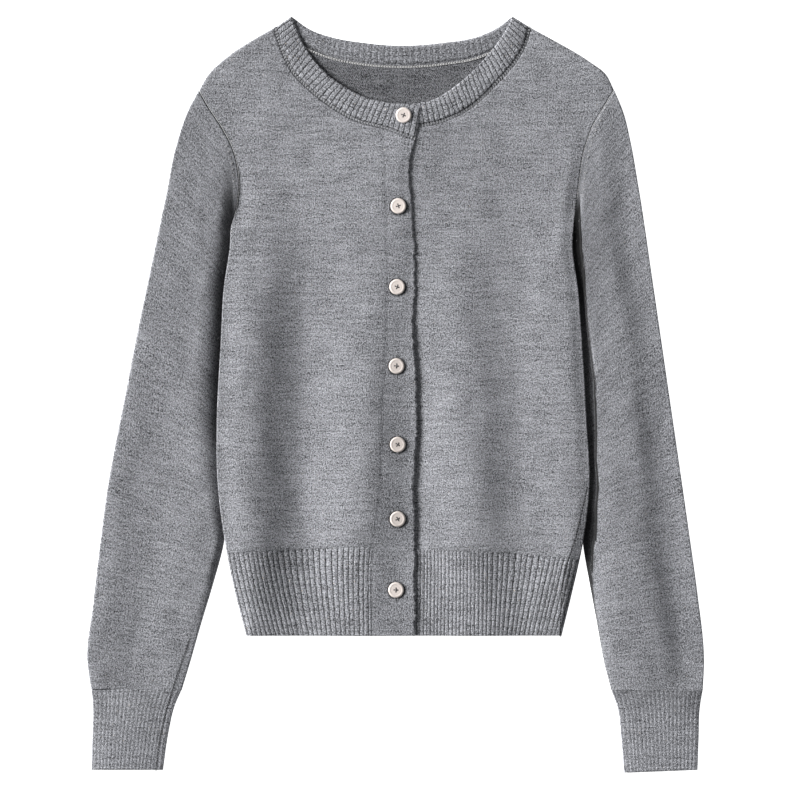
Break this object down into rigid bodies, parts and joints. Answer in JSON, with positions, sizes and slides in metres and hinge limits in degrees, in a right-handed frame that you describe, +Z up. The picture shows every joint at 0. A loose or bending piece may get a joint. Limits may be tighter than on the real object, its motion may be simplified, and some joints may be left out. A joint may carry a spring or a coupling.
{
  "type": "button cardigan",
  "caption": "Fine knitted round-neck button cardigan with ribbed neckband, cuffs and hem, fastened and laid flat on its back.",
  "frame": {"origin": "on the surface that the garment lies on, at the middle of its box", "axes": "+Z up out of the surface, front of the garment upwards; +Y from the hem to the neck; +X towards the wearer's left"},
  "size_m": [0.5306, 0.651, 0.0104],
  "materials": {
    "jersey": "mid grey heather, fine stocking stitch, matt with a light nap",
    "purl": "the same knit's purl side, matt, a little darker",
    "band_knit": "dense plain knitted strip with fine vertical wales, matt",
    "rib": "1x1 rib, grey heather, matt",
    "button": "ivory, satin"
  },
  "bodies": {
    "root": {"front_right": "jersey", "front_left": "jersey", "sleeve_right": "jersey", "sleeve_left": "jersey", "back": "purl", "band_right": "band_knit", "band_left": "band_knit", "neckband_right": "rib", "neckband_left": "rib", "neckband_back": "rib", "hem_right": "rib", "hem_left": "rib", "hem_back": "rib", "cuff_right": "rib", "cuff_left": "rib", "button_1": "button", "button_2": "button", "button_3": "button", "button_4": "button", "button_5": "button", "button_6": "button", "button_7": "button"}
  },
  "joints": []
}
